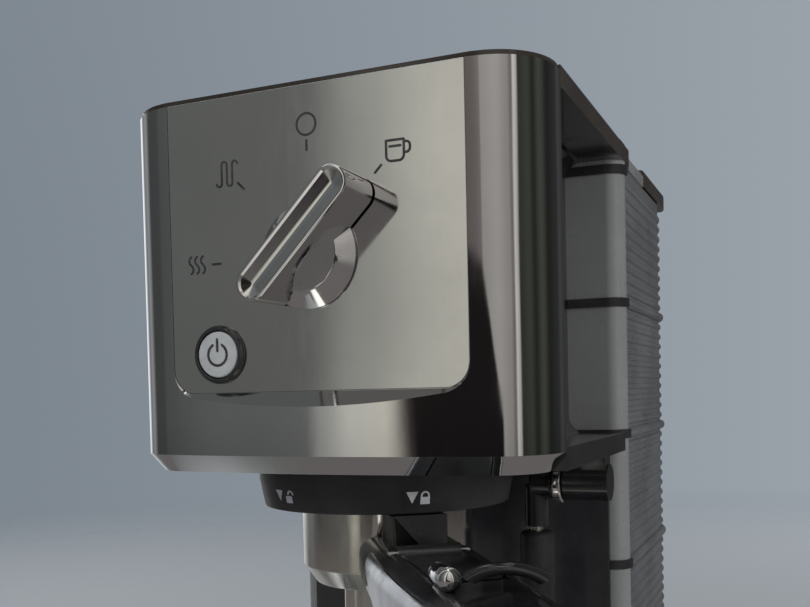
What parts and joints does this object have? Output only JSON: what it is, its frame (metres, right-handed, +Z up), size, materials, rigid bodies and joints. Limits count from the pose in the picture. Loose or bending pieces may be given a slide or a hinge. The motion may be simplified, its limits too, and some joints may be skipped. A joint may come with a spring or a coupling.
{
  "type": "espresso machine",
  "caption": "Slim pump espresso machine: bowed mirror front, pointer knob, lever-locked portafilter, steam wand, ribbed rear body with lift-out tank.",
  "frame": {"origin": "on the counter, on the machine's centre plane, under the front wall of the rear body", "axes": "+X to the right of someone who stands in front, +Y to the back, +Z up"},
  "size_m": [0.1994, 0.361, 0.3037],
  "materials": {
    "chrome": "mirror-polished chrome plate",
    "plate_steel": "polished flat steel",
    "knob_chrome": "polished die-cast chrome",
    "mark_dark": "printed dark pictogram",
    "mark_light": "printed light grey mark",
    "cover_brown": "glossy brown-black moulding",
    "gloss_black": "glossy black moulding",
    "satin_black": "fine satin black moulding",
    "dark_grey": "satin dark grey moulding",
    "button_grey": "satin light grey",
    "steel": "polished stainless steel",
    "aluminium": "cast aluminium",
    "rubber": "soft black rubber",
    "silver_trim": "satin chrome trim",
    "tank_clear": "smoky clear moulding",
    "brass": "turned brass",
    "board_green": "circuit board",
    "hose_clear": "silicone hose"
  },
  "bodies": {
    "machine": {"base_plate": "satin_black", "base_shell": "gloss_black", "body_screws": "steel", "boiler": "aluminium", "boiler_bolts": "steel", "collar_marks": "mark_light", "column_panel": "dark_grey", "control_board": "board_green", "cord_gland": "satin_black", "front_plate": "plate_steel", "group_collar": "satin_black", "group_gasket": "rubber", "group_head": "aluminium", "head_floor": "gloss_black", "head_front_shell": "chrome", "head_neck": "gloss_black", "inner_hoses": "hose_clear", "plate_marks": "mark_dark", "power_button_ring": "gloss_black", "power_switch": "satin_black", "pump": "aluminium", "pump_mounts": "rubber", "rear_frame": "dark_grey", "ribbed_skin": "dark_grey", "rubber_feet": "rubber", "screen_screw": "steel", "selector_switch": "satin_black", "shower_screen": "steel", "steam_pivot_housing": "gloss_black", "steam_pivot_ring": "chrome", "steam_valve": "brass", "tank_seat": "satin_black", "thermostat": "brass", "top_cover": "cover_brown", "wall_bands": "satin_black"},
    "selector_knob": {"knob_bar": "knob_chrome", "knob_dial": "knob_chrome", "knob_shaft": "steel"},
    "power_button": {"power_button_cap": "button_grey", "power_button_mark": "mark_dark"},
    "portafilter": {"portafilter_bowl": "steel", "filter_basket": "steel", "portafilter_spout": "steel", "neck_block": "satin_black", "handle_core": "gloss_black", "handle_side_bands": "silver_trim", "handle_cap": "silver_trim", "clip_pin": "steel"},
    "basket_clip": {"basket_clip": "gloss_black"},
    "steam_wand": {"steam_hub": "satin_black", "steam_tube": "steel", "steam_grip": "satin_black", "steam_nozzle": "steel"},
    "tank": {"water_tank": "tank_clear", "tank_valve": "brass", "lid_hinge_pins": "steel"},
    "tank_lid": {"tank_lid": "cover_brown"},
    "tray": {"drip_tray": "satin_black", "tray_fascia": "chrome"},
    "tray_grid": {"drip_grid": "steel"}
  },
  "joints": [
    {"name": "selector_turn", "type": "hinge", "parent": "machine", "child": "selector_knob", "pos_m": [0, -0.128, 0.2468], "axis": [0, 1, 0], "range_deg": [-135, 0]},
    {"name": "power_press", "type": "slide", "parent": "machine", "child": "power_button", "axis": [0, 1, 0], "range_m": [0, 0.002], "stiffness_N_per_m": 300},
    {"name": "portafilter_turn", "type": "hinge", "parent": "machine", "child": "portafilter", "pos_m": [0, -0.069, 0.15], "axis": [0, 0, 1], "range_deg": [-67, 0]},
    {"name": "clip_flip", "type": "hinge", "parent": "portafilter", "child": "basket_clip", "pos_m": [0.03325, -0.11155, 0.153], "axis": [0.788, 0.6157, 0], "range_deg": [-30, 0]},
    {"name": "wand_swing", "type": "hinge", "parent": "machine", "child": "steam_wand", "pos_m": [0.055, -0.032, 0.168], "axis": [1, 0, 0], "range_deg": [-38, 6]},
    {"name": "tank_lift", "type": "slide", "parent": "machine", "child": "tank", "axis": [0, 0, 1], "range_m": [0, 0.2]},
    {"name": "lid_open", "type": "hinge", "parent": "tank", "child": "tank_lid", "pos_m": [0, 0.1355, 0.2995], "axis": [1, 0, 0], "range_deg": [-75, 0]},
    {"name": "tray_slide", "type": "slide", "parent": "machine", "child": "tray", "axis": [0, -1, 0], "range_m": [0, 0.105]},
    {"name": "grid_lift", "type": "slide", "parent": "tray", "child": "tray_grid", "axis": [0, 0, 1], "range_m": [0, 0.02]}
  ]
}
